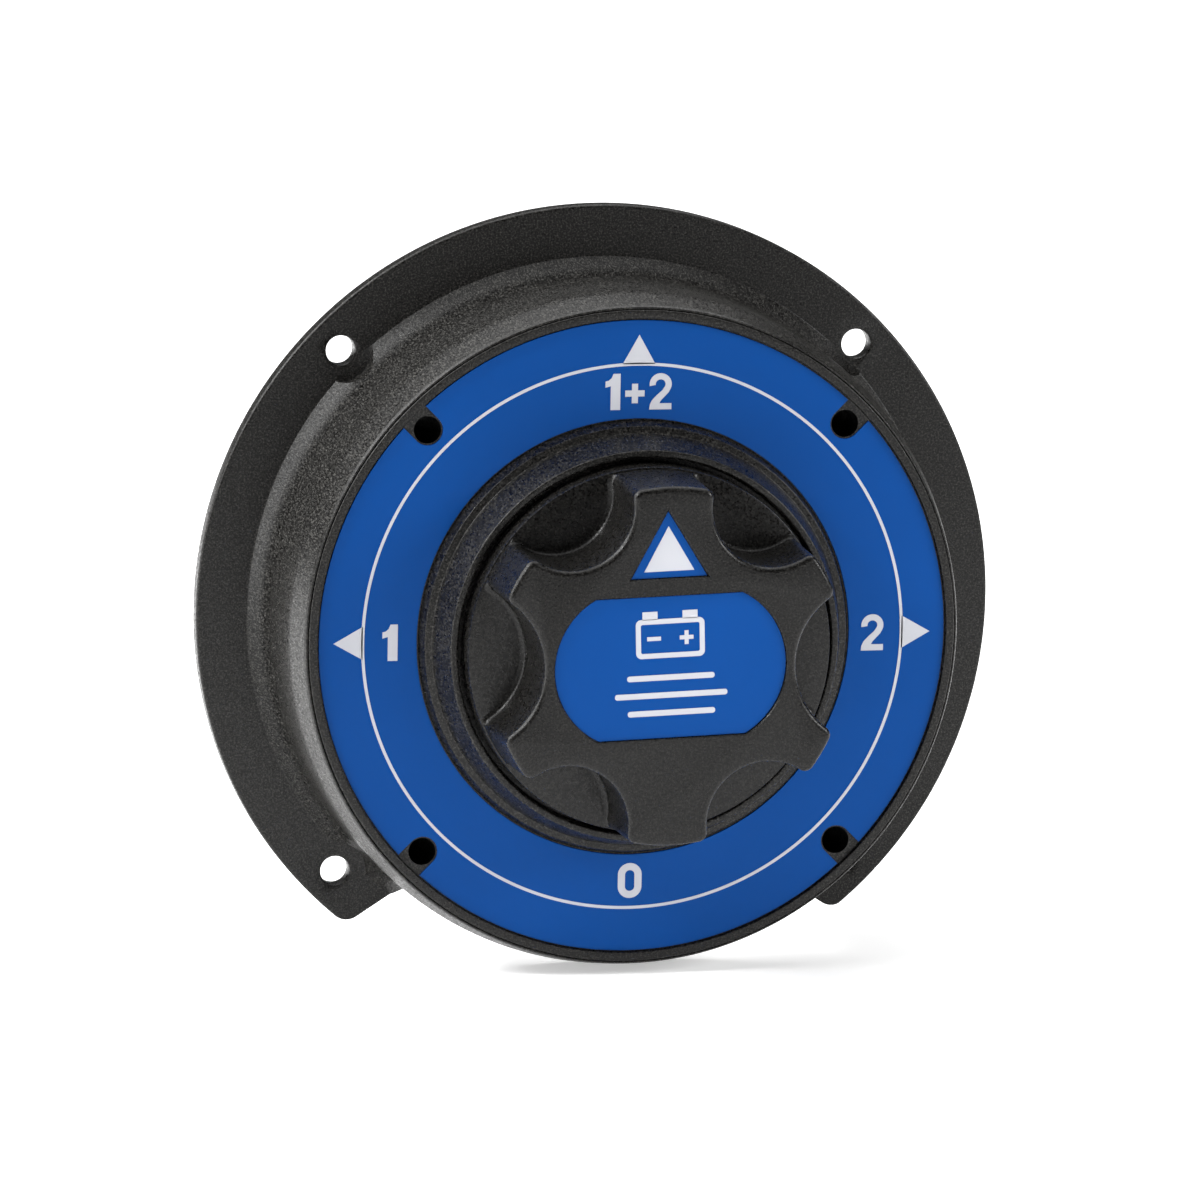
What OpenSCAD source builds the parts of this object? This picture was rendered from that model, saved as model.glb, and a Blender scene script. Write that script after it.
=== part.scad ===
// Marine battery selector switch, surface mounted, with positions 1, 2, 1+2 and 0.
// Every module draws its piece with the knob's axis along +Z, the dial's top along +Y and the
// flange's back face at z = 0. upright() then stands it against a wall: the front faces -Y and
// the top is +Z. Angles count anticlockwise on the dial: 0 is position 2, 90 the top, 180 position 1.

/* [Mounting housing] */
// Diameter of the screw flange
flange_d = 132; // [131:0.5:134]
// Thickness of the screw flange
flange_t = 3.4; // [3:0.1:4]
// Bolt circle of the flange's four screw holes
flange_pcd = 121; // [120:0.5:122]
// Diameter of a flange screw hole
flange_hole_d = 4.8; // [4.2:0.1:5.4]
// Diameter of the flat round each flange screw hole
spotface_d = 10.2; // [9.6:0.1:10.4]
// Outside diameter of the housing's straight wall
wall_d = 109.4; // [109:0.1:110]
// Thickness of the housing's wall
wall_t = 3.2; // [2.8:0.1:3.4]
// Height at which the wall starts to lean in towards the rim
lean_z = 25.8; // [24:0.1:27]
// Height of the housing's front edge
front_z = 32; // [31.8:0.1:32.2]
// Width of the cable outlet in the lower side
outlet_w = 62; // [56:1:64]
// Height of the cable outlet above the wall it is mounted on
outlet_h = 21; // [18:1:23]

/* [Front face] */
// Bolt circle of the dial's four panel screw holes
dial_pcd = 96; // [95.6:0.1:96.2]
// Diameter of a panel screw hole
dial_hole_d = 4.4; // [4:0.1:4.6]
// Outside diameter of the ring label
label_d = 102.1; // [101:0.1:102.4]
// Inside diameter of the ring label
label_hole_d = 70.6; // [70.4:0.1:74]
// Thickness of the printed labels
label_t = 0.3; // [0.2:0.05:0.4]
// Height of the collar's top edge
collar_z = 40.3; // [40:0.1:41]

/* [Knob] */
// Diameter over the knob's lobes at the top face
knob_d = 57; // [56:0.5:58]
// Diameter of the knob's base disc
disc_d = 58.6; // [57:0.2:59]
// Height of the base disc's front
disc_z = 43.5; // [43:0.1:44.5]
// Height of the knob's top face
knob_z = 58.5; // [58:0.5:60]
// Depth of the recesses that hold the knob's labels
recess_depth = 0.8; // [0.6:0.1:1]
// Width of the knob's main label
badge_w = 36.9; // [35:0.1:38]
// Height of the knob's main label
badge_h = 22.4; // [21:0.1:23]

/* [Terminals] */
// Thread diameter of the terminal studs
stud_d = 10; // [8, 10]
// Circle that the terminal studs stand on
stud_pcd = 56; // [54:1:57]

/* [Shaft and detent] */
// Diameter of the drive shaft
shaft_d = 8; // [7.6:0.1:8]
// Radial gap between a turning shaft and its bore
running_gap = 0.05; // [0.02:0.01:0.1]
// Diameter of the detent cam
cam_d = 34; // [33:0.5:34]
// Diameter of a detent plunger
plunger_d = 4; // [3.6:0.1:4]
// How far a plunger moves into a notch
plunger_travel = 1.5; // [1:0.1:1.5]

/* [Hidden] */
$fn = 96;
eps = 0.01;
diagonals = [45, 135, 225, 315];
quarters = [0, 90, 180, 270];

black = [0.13, 0.13, 0.13];
blue = [0.11, 0.28, 0.62];
copper = [0.78, 0.46, 0.28];
steel = [0.75, 0.75, 0.76];
nylon = [0.85, 0.84, 0.78];
rubber = [0.07, 0.07, 0.07];

// Heights through the switch, from the flange's back face to the front
stud_end_z = 1.5;
plate_z = 14.5;
plate_t = 3;
plate_top_z = plate_z + plate_t;
gasket_t = 0.8;
chamber_z = plate_top_z + gasket_t;
contact_t = 2.5;
contact_top_z = plate_top_z + contact_t;
contact_gap = 0.3;
bridge_z = contact_top_z + contact_gap;
bridge_t = 2.5;
hub_z = 23.3;
rotor_z = 26.2;
rotor_t = 3;
cam_z = rotor_z + rotor_t;
cam_top_z = 34.4;
ceiling_z = 35.3;
well_z = 37.5;
boss_z = 41.3;
seat_z = 28.9;
floor_z = 31.5;
rim_z = 32.35;
label_z = floor_z + label_t;
recess_z = knob_z - recess_depth;

// Stepped foot, leaning rim and inner ledge of the housing
foot_outer_r = 57.6;
foot_inner_r = 55.5;
foot_step_z = 6;
foot_lip_z = 6.6;
foot_lip = 0.2;
foot_top_z = 8;
flange_r = flange_d / 2;
spotface_h = 6;
wall_r = wall_d / 2;
wall_inner_r = wall_r - wall_t;
mouth_r = 52.8;
mouth_land = 0.3;
rim_r = mouth_r - 0.1;
rim_inner_r = 51.3;
ledge_r = 50.6;
ledge_t = 2.5;
ledge_slope = 1;
relief_z = 20;

// Cable outlet's side, from inside to outside: how far it flares, and its height on the dial
outlet_flare = [[0, -30], [0, -44.4], [2, -46.5], [7.4, -50], [13, -53.6], [13, -70]];

// Face body: contact chamber, collar, shaft boss and detent guides
chamber_r = 37.5;
chamber_outer_r = 44.5;
collar_foot_r = 35;
collar_top_r = 31.35;
collar_low_r = 33.2;
collar_low_z = 33.9;
collar_step_r = 34.3;
collar_step_z = 33.8;
well_r = 30.3;
bush_r = 6.5;
bush_h = 3.5;
boss_r = 9;
guide_start_r = 20;
guide_w = 9;
guide_z = cam_z + 0.4;
guide_bore_start_r = 19;
label_slot_play = 0.25;
screw_play = 0.2;

// Screws: shank and head radii, head heights and depths
cover_screw_r = 1.5;
cover_head_r = 2.9;
cover_head_h = 2;
cover_screw_depth = 8;
pilot_extra = 0.5;
cover_screw_circle_r = 41;
cover_screw_angles = [0, 60, 120, 180, 240, 300];
housing_screw_r = 1.3;
housing_head_r = 2.2;
housing_head_h = 1.8;
housing_tip_gap = 0.5;
housing_pilot_gap = 0.3;
ear_r = 3.6;
ear_circle_r = 48.2;
panel_boss_r = 3.3;
panel_boss_z = 12;
panel_boss_gap = 0.1;

// Back cover: ribs between the terminals and the shaft's pivot boss
rib_angles = [90, 210, 330];
rib_z = 5;
rib_t = 2.4;
rib_start = 6;
rib_end_gap = 2;
pivot_boss_r = 8.5;
pivot_boss_z = 9;
gasket_gap = 0.5;

// Terminals: battery 1, battery 2 and common
stud_angles = [150, 30, 270];
stud_chamfer = 1;
stud_top_gap = 0.4;
nut_z = 5.5;
nut_h = 6;
nut_corners = 18.4;
lock_washer_t = 1.7;
lock_washer_r = 8.2;
lock_slit = 1.2;
flat_washer_r = 9;

// Copper contacts: outer and inner radii and half angles
battery_outer_r = 33;
battery_inner_r = 18;
battery_half_angle = 25;
common_ring_r = 15.5;
common_hole_r = 10.5;
common_arm_r = 36;
common_arm_start_r = 13;
common_half_angle = 20;

// Shaft and detent
shaft_r = shaft_d / 2;
shaft_end_z = 12;
seal_gap = 0.05;
pivot_depth = 6;
square_side = 5.6;
square_gap = 0.1;
ring_t = 0.8;
ring_groove_r = 3.25;
ring_outer_r = 7;
ring_mouth = 5.3;
knob_square_z = 42;
shaft_top_z = 50.5;
knob_screw_r = 2;
knob_head_r = 4;
knob_head_h = 2.8;
knob_washer_r = 4.8;
web_z = 51;
web_t = 2;
rotor_r = 29.3;
rotor_hub_r = 7.9;
cam_gap = 0.3;
plunger_r = plunger_d / 2;
plunger_z = 32.3;
plunger_tip_r = cam_d / 2 + cam_gap;
plunger_back_r = 24.5;
guide_end_r = 29.6;
notch_r = 3.2;
notch_play = 0.1;
notch_circle_r = cam_d / 2 + notch_r - plunger_travel - notch_play;
bridge_half_angle = 62;
bridge_r = 31;
bridge_ring_r = 16;
bridge_hole_r = 8.3;
bridge_wing_r = 12;
peg_r = 1.6;
peg_play = 0.4;
peg_end_gap = 1;
peg_circle_r = 26;
peg_angles = [60, 120];
spring_circle_r = 20;
spring_angles = [50, 90, 130];
contact_coil_r = 2.6;
contact_wire_r = 0.45;
contact_coil_turns = 3;
detent_coil_r = 1.35;
detent_wire_r = 0.3;
detent_coil_turns = 5;

// Knob outline: two wide lobes, four narrow ones, and round scallops between them
wide_scallop_r = 12.7;
wide_scallop_circle_r = 32.8;
narrow_scallop_r = 9.7;
narrow_scallop_circle_r = 29.8;
narrow_scallop_angles = [57.5, 122.5, 237.5, 302.5];

// Inside of the knob
skirt_z = well_z + 0.8;
skirt_inner_r = 26.5;
knob_draft = 0.2;
knob_skin = 2.7;
core_r = 17.5;
hub_r = 7;
knob_pocket_r = 5.2;

// Knob labels
badge_end_r = 12.7;
label_turn = 2;
label_play = 0.15;
pointer_w = 12.1;
pointer_base_y = 14.2;
pointer_tip_y = 24.6;

module upright() {
    rotate([90, 0, 0]) children();
}

module polar(radius, angle) {
    rotate([0, 0, angle]) translate([radius, 0, 0]) children();
}

module post(radius, low, high) {
    translate([0, 0, low]) cylinder(r = radius, h = high - low);
}

module ring(outer, inner, low, high) {
    difference() {
        post(outer, low, high);
        post(inner, low - 1, high + 1);
    }
}

// A square bar standing on the axis
module square_post(side, low, high) {
    translate([0, 0, (low + high) / 2]) cube([side, side, high - low], center = true);
}

// A flat wedge of a ring, half_angle each side of the middle angle
module ring_sector(outer, inner, low, high, middle, half_angle) {
    reach = outer * 1.6;
    intersection() {
        ring(outer, inner, low, high);
        rotate([0, 0, middle]) translate([0, 0, low - 1]) linear_extrude(high - low + 2)
            polygon([[0, 0], [reach * cos(half_angle), -reach * sin(half_angle)], [reach, 0],
                [reach * cos(half_angle), reach * sin(half_angle)]]);
    }
}

// A pan head screw along the axis: the head's flat side is at head_z and the tip at tip_z
module pan_screw(shank_r, head_r, head_h, head_z, tip_z) {
    way = sign(tip_z - head_z);
    translate([0, 0, head_z]) mirror([0, 0, way < 0 ? 1 : 0]) difference() {
        union() {
            cylinder(r = shank_r, h = abs(tip_z - head_z));
            translate([0, 0, -head_h]) cylinder(r1 = head_r * 0.8, r2 = head_r, h = head_h * 0.5);
            translate([0, 0, -head_h / 2]) cylinder(r = head_r, h = head_h / 2);
        }
        for (turn = [0, 90])
            rotate([0, 0, turn]) translate([0, 0, -head_h])
                cube([head_r * 1.1, head_r * 0.25, head_h * 0.9], center = true);
    }
}

// A wire coil along the axis, swept from points on a helix
module coil(mean_r, wire_r, low, high, turns) {
    sides = 6;
    turn_steps = 12;
    steps = turn_steps * turns;
    rise = (high - low - 2 * wire_r) / steps;
    rings = [for (i = [0 : steps]) [for (k = [0 : sides - 1])
        let (around = 360 * i / turn_steps, lean = 360 * k / sides,
            spoke = mean_r + wire_r * cos(lean))
        [spoke * cos(around), spoke * sin(around),
            low + wire_r + rise * i + wire_r * sin(lean)]]];
    points = [for (one = rings) for (p = one) p];
    walls = [for (i = [0 : steps - 1]) for (k = [0 : sides - 1])
        let (a = i * sides + k, b = i * sides + (k + 1) % sides)
        [a, b, b + sides, a + sides]];
    start = [for (k = [sides - 1 : -1 : 0]) k];
    end = [for (k = [0 : sides - 1]) steps * sides + k];
    polyhedron(points, concat([start], walls, [end]));
}

// The space that the cable outlet takes out of the flange and wall, flared towards the lugs
module outlet_space() {
    side = outlet_w / 2;
    right = [for (p = outlet_flare) [side + p[0], p[1]]];
    left = [for (i = [len(right) - 1 : -1 : 0]) [-right[i][0], right[i][1]]];
    translate([0, 0, -1]) linear_extrude(outlet_h + 1) polygon(concat(right, left));
}

// Outer housing: screw flange, stepped foot, straight wall and a rim that leans in
module mounting_housing() {
    color(black) upright() difference() {
        union() {
            rotate_extrude() polygon([[wall_inner_r, 0], [flange_r, 0], [flange_r, flange_t],
                [foot_outer_r, flange_t], [foot_inner_r, foot_step_z],
                [wall_r + foot_lip, foot_lip_z], [wall_r, foot_top_z], [wall_r, lean_z],
                [mouth_r + mouth_land, front_z], [mouth_r, front_z], [mouth_r, seat_z],
                [ledge_r, seat_z], [ledge_r, seat_z - ledge_t],
                [wall_inner_r, seat_z - ledge_t - ledge_slope]]);
            for (a = quarters)
                polar(ear_circle_r, a) post(ear_r, seat_z - ledge_t, seat_z);
        }
        for (a = diagonals) {
            polar(flange_pcd / 2, a) post(flange_hole_d / 2, -1, flange_t + 1);
            polar(flange_pcd / 2, a) post(spotface_d / 2, flange_t, flange_t + spotface_h);
        }
        for (a = quarters)
            polar(ear_circle_r, a) post(housing_screw_r + screw_play, relief_z, seat_z + 1);
        for (a = diagonals)
            polar(dial_pcd / 2, a) post(panel_boss_r + panel_boss_gap, relief_z, seat_z + 1);
        outlet_space();
    }
}

// Face body: rim, dial floor, collar, contact chamber, shaft boss and detent guides
module face_body() {
    color(black) upright() difference() {
        union() {
            rotate_extrude() polygon([[bush_r, ceiling_z], [bush_r, boss_z], [boss_r, boss_z],
                [boss_r, well_z], [well_r, well_z], [well_r, collar_z],
                [collar_top_r, collar_z], [collar_low_r, collar_low_z],
                [collar_step_r, collar_step_z], [collar_foot_r, floor_z], [rim_inner_r, floor_z],
                [rim_inner_r, rim_z], [rim_r, rim_z], [rim_r, seat_z], [chamber_outer_r, seat_z],
                [chamber_outer_r, chamber_z], [chamber_r, chamber_z], [chamber_r, seat_z],
                [well_r, seat_z], [well_r, ceiling_z]]);
            for (a = diagonals)
                polar(dial_pcd / 2, a) post(panel_boss_r, panel_boss_z, seat_z + 1);
            for (a = [0, 180])
                rotate([0, 0, a]) translate([guide_start_r, -guide_w / 2, guide_z])
                    cube([well_r + 0.3 - guide_start_r, guide_w, ceiling_z + 0.5 - guide_z]);
        }
        for (a = diagonals)
            polar(dial_pcd / 2, a) post(dial_hole_d / 2, panel_boss_z - 1, rim_z + 1);
        for (a = quarters)
            polar(ear_circle_r, a) post(housing_screw_r, seat_z - 1, floor_z - housing_pilot_gap);
        for (a = cover_screw_angles)
            polar(cover_screw_circle_r, a)
                post(cover_screw_r, chamber_z - 1, chamber_z + cover_screw_depth + pilot_extra);
        for (a = [0, 180])
            rotate([0, 0, a]) translate([guide_bore_start_r, 0, plunger_z]) rotate([0, 90, 0])
                cylinder(r = plunger_r + running_gap, h = guide_end_r - guide_bore_start_r);
    }
}

// Ring label, with a slot open to its edge at each panel screw hole
module dial_label() {
    slot_r = dial_hole_d / 2 + label_slot_play;
    color(blue) upright() difference() {
        ring(label_d / 2, label_hole_d / 2, floor_z, label_z);
        for (a = diagonals)
            polar(dial_pcd / 2, a) {
                post(slot_r, floor_z - 1, label_z + 1);
                translate([0, -slot_r, floor_z - 1]) cube([label_d, 2 * slot_r, label_t + 2]);
            }
    }
}

// Back cover that carries the studs, with ribs between them and the shaft's pivot
module terminal_plate() {
    color(black) upright() difference() {
        union() {
            post(chamber_outer_r, plate_z, plate_top_z);
            post(pivot_boss_r, pivot_boss_z, plate_z + 1);
            for (a = rib_angles)
                rotate([0, 0, a]) translate([rib_start, -rib_t / 2, rib_z])
                    cube([chamber_outer_r - rib_start - rib_end_gap, rib_t,
                        plate_z + 1 - rib_z]);
        }
        post(shaft_r + running_gap, plate_top_z - pivot_depth, plate_top_z + 1);
        for (a = stud_angles)
            polar(stud_pcd / 2, a) post(stud_d / 2, plate_z - 1, plate_top_z + 1);
        for (a = cover_screw_angles)
            polar(cover_screw_circle_r, a)
                post(cover_screw_r + screw_play, plate_z - 1, plate_top_z + 1);
    }
}

module cover_gasket() {
    color(rubber) upright() difference() {
        ring(chamber_outer_r - gasket_gap, chamber_r + gasket_gap, plate_top_z, chamber_z);
        for (a = cover_screw_angles)
            polar(cover_screw_circle_r, a)
                post(cover_screw_r + screw_play, plate_top_z - 1, chamber_z + 1);
    }
}

module cover_screws() {
    color(steel) upright()
        for (a = cover_screw_angles)
            polar(cover_screw_circle_r, a)
                pan_screw(cover_screw_r, cover_head_r, cover_head_h, plate_z,
                    chamber_z + cover_screw_depth);
}

module housing_screws() {
    color(steel) upright()
        for (a = quarters)
            polar(ear_circle_r, a)
                pan_screw(housing_screw_r, housing_head_r, housing_head_h, seat_z - ledge_t,
                    floor_z - housing_tip_gap);
}

// A battery contact: a copper pad clamped under its stud
module battery_contact(angle) {
    difference() {
        ring_sector(battery_outer_r, battery_inner_r, plate_top_z, contact_top_z, angle,
            battery_half_angle);
        polar(stud_pcd / 2, angle) post(stud_d / 2, plate_top_z - 1, contact_top_z + 1);
    }
}

module contact_battery_1() {
    color(copper) upright() battery_contact(stud_angles[0]);
}

module contact_battery_2() {
    color(copper) upright() battery_contact(stud_angles[1]);
}

// Common contact: a ring round the shaft with an arm out to its stud
module contact_common() {
    angle = stud_angles[2];
    color(copper) upright() difference() {
        union() {
            ring(common_ring_r, common_hole_r, plate_top_z, contact_top_z);
            ring_sector(common_arm_r, common_arm_start_r, plate_top_z, contact_top_z, angle,
                common_half_angle);
        }
        polar(stud_pcd / 2, angle) post(stud_d / 2, plate_top_z - 1, contact_top_z + 1);
    }
}

// Threaded terminal stud, with a chamfered end
module stud(angle) {
    polar(stud_pcd / 2, angle) {
        post(stud_d / 2, stud_end_z + stud_chamfer, contact_top_z - stud_top_gap);
        translate([0, 0, stud_end_z])
            cylinder(r1 = stud_d / 2 - stud_chamfer, r2 = stud_d / 2, h = stud_chamfer);
    }
}

module stud_battery_1() {
    color(steel) upright() stud(stud_angles[0]);
}

module stud_battery_2() {
    color(steel) upright() stud(stud_angles[1]);
}

module stud_common() {
    color(steel) upright() stud(stud_angles[2]);
}

// Hexagon nuts, spring washers and flat washers, stacked on each stud
module terminal_nuts() {
    color(steel) upright()
        for (a = stud_angles)
            polar(stud_pcd / 2, a) difference() {
                translate([0, 0, nut_z]) cylinder(d = nut_corners, h = nut_h, $fn = 6);
                post(stud_d / 2, nut_z - 1, nut_z + nut_h + 1);
            }
}

module terminal_lock_washers() {
    low = nut_z + nut_h;
    color(steel) upright()
        for (a = stud_angles)
            polar(stud_pcd / 2, a) difference() {
                ring(lock_washer_r, stud_d / 2, low, low + lock_washer_t);
                translate([stud_d / 2 - 1, -lock_slit / 2, low - 1])
                    cube([lock_washer_r, lock_slit, lock_washer_t + 2]);
            }
}

module terminal_flat_washers() {
    color(steel) upright()
        for (a = stud_angles)
            polar(stud_pcd / 2, a)
                ring(flat_washer_r, stud_d / 2, nut_z + nut_h + lock_washer_t, plate_z);
}

module shaft_bush() {
    color(nylon) upright() ring(bush_r, shaft_r + running_gap, ceiling_z, ceiling_z + bush_h);
}

// Rubber ring above the bush
module shaft_seal() {
    inner = shaft_r + running_gap;
    wire_r = (bush_r - seal_gap - inner) / 2;
    color(rubber) upright() translate([0, 0, ceiling_z + bush_h + wire_r])
        rotate_extrude() translate([inner + wire_r, 0]) circle(r = wire_r, $fn = 24);
}

// Detent parts are drawn on the right, at angle 0, and turned half round for the left
module detent_plunger(angle) {
    centre = plunger_tip_r + plunger_r;
    rotate([0, 0, angle]) translate([centre, 0, plunger_z]) rotate([0, 90, 0]) {
        cylinder(r = plunger_r, h = plunger_back_r - centre);
        sphere(r = plunger_r);
    }
}

module detent_spring(angle) {
    rotate([0, 0, angle]) translate([plunger_back_r, 0, plunger_z]) rotate([0, 90, 0])
        coil(detent_coil_r, detent_wire_r, 0, guide_end_r - plunger_back_r, detent_coil_turns);
}

module detent_spring_left() {
    color(steel) upright() detent_spring(180);
}

module detent_spring_right() {
    color(steel) upright() detent_spring(0);
}

module detent_plunger_left() {
    color(steel) upright() detent_plunger(180);
}

module detent_plunger_right() {
    color(steel) upright() detent_plunger(0);
}

// The main label's outline: straight top and bottom, round ends
module badge_outline(grow) {
    end_x = badge_w / 2 - badge_end_r;
    intersection() {
        square([badge_w + 2, badge_h + 2 * grow], center = true);
        union() {
            for (side = [-1, 1])
                translate([side * end_x, 0]) circle(r = badge_end_r + grow);
            square([2 * end_x, 4 * badge_end_r], center = true);
        }
    }
}

module pointer_outline(grow) {
    polygon([[-pointer_w / 2 - 1.7 * grow, pointer_base_y - grow],
        [pointer_w / 2 + 1.7 * grow, pointer_base_y - grow],
        [0, pointer_tip_y + 2 * grow]]);
}

// Six-lobed knob on a base disc, hollow behind, with a square hub for the shaft
module knob() {
    color(black) upright() difference() {
        union() {
            post(disc_d / 2, skirt_z, disc_z);
            difference() {
                translate([0, 0, disc_z - eps])
                    cylinder(r1 = disc_d / 2 - knob_draft, r2 = knob_d / 2,
                        h = knob_z - disc_z + eps);
                for (a = [0, 180])
                    polar(wide_scallop_circle_r, a) post(wide_scallop_r, disc_z, knob_z + 1);
                for (a = narrow_scallop_angles)
                    polar(narrow_scallop_circle_r, a) post(narrow_scallop_r, disc_z, knob_z + 1);
            }
        }
        post(skirt_inner_r, well_z, disc_z - knob_skin);
        difference() {
            post(core_r, well_z, web_z + web_t);
            post(hub_r, knob_square_z, web_z + web_t + 1);
        }
        square_post(square_side + square_gap, well_z, web_z);
        post(knob_screw_r + screw_play, web_z - 1, knob_z);
        post(knob_pocket_r, web_z + web_t, knob_z + 1);
        rotate([0, 0, label_turn]) translate([0, 0, recess_z]) linear_extrude(2) {
            badge_outline(label_play);
            pointer_outline(label_play);
        }
    }
}

module knob_label() {
    color(blue) upright() rotate([0, 0, label_turn]) translate([0, 0, recess_z])
        linear_extrude(label_t) badge_outline(0);
}

module pointer_label() {
    color(blue) upright() rotate([0, 0, label_turn]) translate([0, 0, recess_z])
        linear_extrude(label_t) pointer_outline(0);
}

module knob_screw() {
    color(steel) upright()
        pan_screw(knob_screw_r, knob_head_r, knob_head_h, web_z + web_t + ring_t,
            knob_square_z);
}

module knob_screw_washer() {
    color(steel) upright()
        ring(knob_washer_r, knob_screw_r + screw_play, web_z + web_t, web_z + web_t + ring_t);
}

// Shaft: round pivot, square for the rotor, round in the bush, square for the knob
module drive_shaft() {
    color(steel) upright() difference() {
        union() {
            post(shaft_r, shaft_end_z, hub_z - ring_t);
            post(ring_groove_r, hub_z - ring_t - 1, hub_z + eps);
            square_post(square_side, hub_z, cam_top_z + 1);
            post(shaft_r, cam_top_z, knob_square_z);
            square_post(square_side, knob_square_z - 1, shaft_top_z);
        }
        post(knob_screw_r, knob_square_z - 1, shaft_top_z + 1);
    }
}

// Rotor: carrier disc with a hub and drive pegs behind, and the four-notch cam in front
module rotor() {
    color(nylon) upright() difference() {
        union() {
            post(rotor_r, rotor_z, cam_z);
            post(rotor_hub_r, hub_z, rotor_z + 1);
            post(cam_d / 2, cam_z - 1, cam_top_z);
            for (a = peg_angles)
                polar(peg_circle_r, a) post(peg_r, contact_top_z + peg_end_gap, rotor_z + 1);
        }
        square_post(square_side + square_gap, hub_z - 1, cam_top_z + 1);
        for (a = quarters)
            polar(notch_circle_r, a) post(notch_r, cam_z, cam_top_z + 1);
    }
}

module retaining_ring() {
    color(steel) upright() difference() {
        ring(ring_outer_r, ring_groove_r, hub_z - ring_t, hub_z);
        translate([0, -ring_mouth / 2, hub_z - ring_t - 1])
            cube([ring_outer_r + 1, ring_mouth, ring_t + 2]);
    }
}

// Moving contact: a ring over the common contact and a wing that reaches the battery contacts
module contact_bridge() {
    top = bridge_z + bridge_t;
    color(copper) upright() difference() {
        union() {
            ring(bridge_ring_r, bridge_hole_r, bridge_z, top);
            ring_sector(bridge_r, bridge_wing_r, bridge_z, top, 90, bridge_half_angle);
        }
        for (a = peg_angles)
            polar(peg_circle_r, a) post(peg_r + peg_play, bridge_z - 1, top + 1);
    }
}

module contact_springs() {
    color(steel) upright()
        for (a = spring_angles)
            polar(spring_circle_r, a)
                coil(contact_coil_r, contact_wire_r, bridge_z + bridge_t, rotor_z,
                    contact_coil_turns);
}

mounting_housing();
face_body();
dial_label();
terminal_plate();
cover_gasket();
cover_screws();
housing_screws();
contact_battery_1();
contact_battery_2();
contact_common();
stud_battery_1();
stud_battery_2();
stud_common();
terminal_nuts();
terminal_lock_washers();
terminal_flat_washers();
shaft_bush();
shaft_seal();
detent_spring_left();
detent_spring_right();
detent_plunger_left();
detent_plunger_right();
knob();
knob_label();
pointer_label();
knob_screw();
knob_screw_washer();
drive_shaft();
rotor();
retaining_ring();
contact_bridge();
contact_springs();
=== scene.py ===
"""Looks for a surface-mounted battery selector switch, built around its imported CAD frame.

Pieces are worked out in dial space, in millimetres: x to the right, y towards the dial's top and
z from the flange's back face towards the viewer. row() turns such a point into the frame's metres.
"""

import math

import bmesh
import bpy
from mathutils import Matrix, Vector


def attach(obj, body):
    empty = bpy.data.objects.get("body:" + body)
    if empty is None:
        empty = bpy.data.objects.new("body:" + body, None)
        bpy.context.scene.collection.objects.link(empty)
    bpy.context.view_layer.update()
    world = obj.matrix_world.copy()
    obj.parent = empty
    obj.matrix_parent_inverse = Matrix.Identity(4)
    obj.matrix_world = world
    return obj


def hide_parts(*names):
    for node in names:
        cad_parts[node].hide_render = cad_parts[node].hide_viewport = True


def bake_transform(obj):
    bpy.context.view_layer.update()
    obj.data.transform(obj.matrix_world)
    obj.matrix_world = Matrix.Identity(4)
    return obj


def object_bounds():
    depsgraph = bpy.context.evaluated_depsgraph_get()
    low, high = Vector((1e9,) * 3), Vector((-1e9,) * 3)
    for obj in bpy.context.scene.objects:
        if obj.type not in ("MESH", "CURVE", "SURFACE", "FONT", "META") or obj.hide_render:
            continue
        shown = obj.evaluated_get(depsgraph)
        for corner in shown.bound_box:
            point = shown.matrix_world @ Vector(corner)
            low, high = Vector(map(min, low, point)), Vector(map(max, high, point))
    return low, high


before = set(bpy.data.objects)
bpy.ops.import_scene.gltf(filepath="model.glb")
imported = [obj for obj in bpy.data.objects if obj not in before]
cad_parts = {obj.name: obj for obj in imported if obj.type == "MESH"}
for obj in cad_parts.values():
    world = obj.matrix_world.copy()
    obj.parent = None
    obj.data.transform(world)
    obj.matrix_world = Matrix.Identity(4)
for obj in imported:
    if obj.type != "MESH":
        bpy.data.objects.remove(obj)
cad_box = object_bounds()

MM = 0.001
TURN = 2 * math.pi
DIAGONALS = (45, 135, 225, 315)
QUARTERS = (0, 90, 180, 270)

# Heights in dial space, from the flange's back face to the front
FLANGE_T = 3.4
FOOT_TOP_Z = 7.0
WALL_MIDDLE_Z = 15
PLATE_Z = 14.5
CHAMBER_Z = 18.3
LEAN_Z = 25.2
SEAT_Z = 28.9
LEDGE_Z = SEAT_Z - 2.5
RIM_EDGE_Z = 31.35
FLOOR_Z = 31.5
LABEL_T = 0.3
LABEL_Z = FLOOR_Z + LABEL_T
RIM_Z = 32.35
FRONT_Z = 32.0
WELL_BACK_Z = 35.3
WELL_Z = 37.5
COLLAR_Z = 40.3
BUSH_Z = 41.3
DISC_Z = 43.5
KNOB_Z = 58.5
BADGE_Z = 57.7
PRINT_T = 0.05

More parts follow.
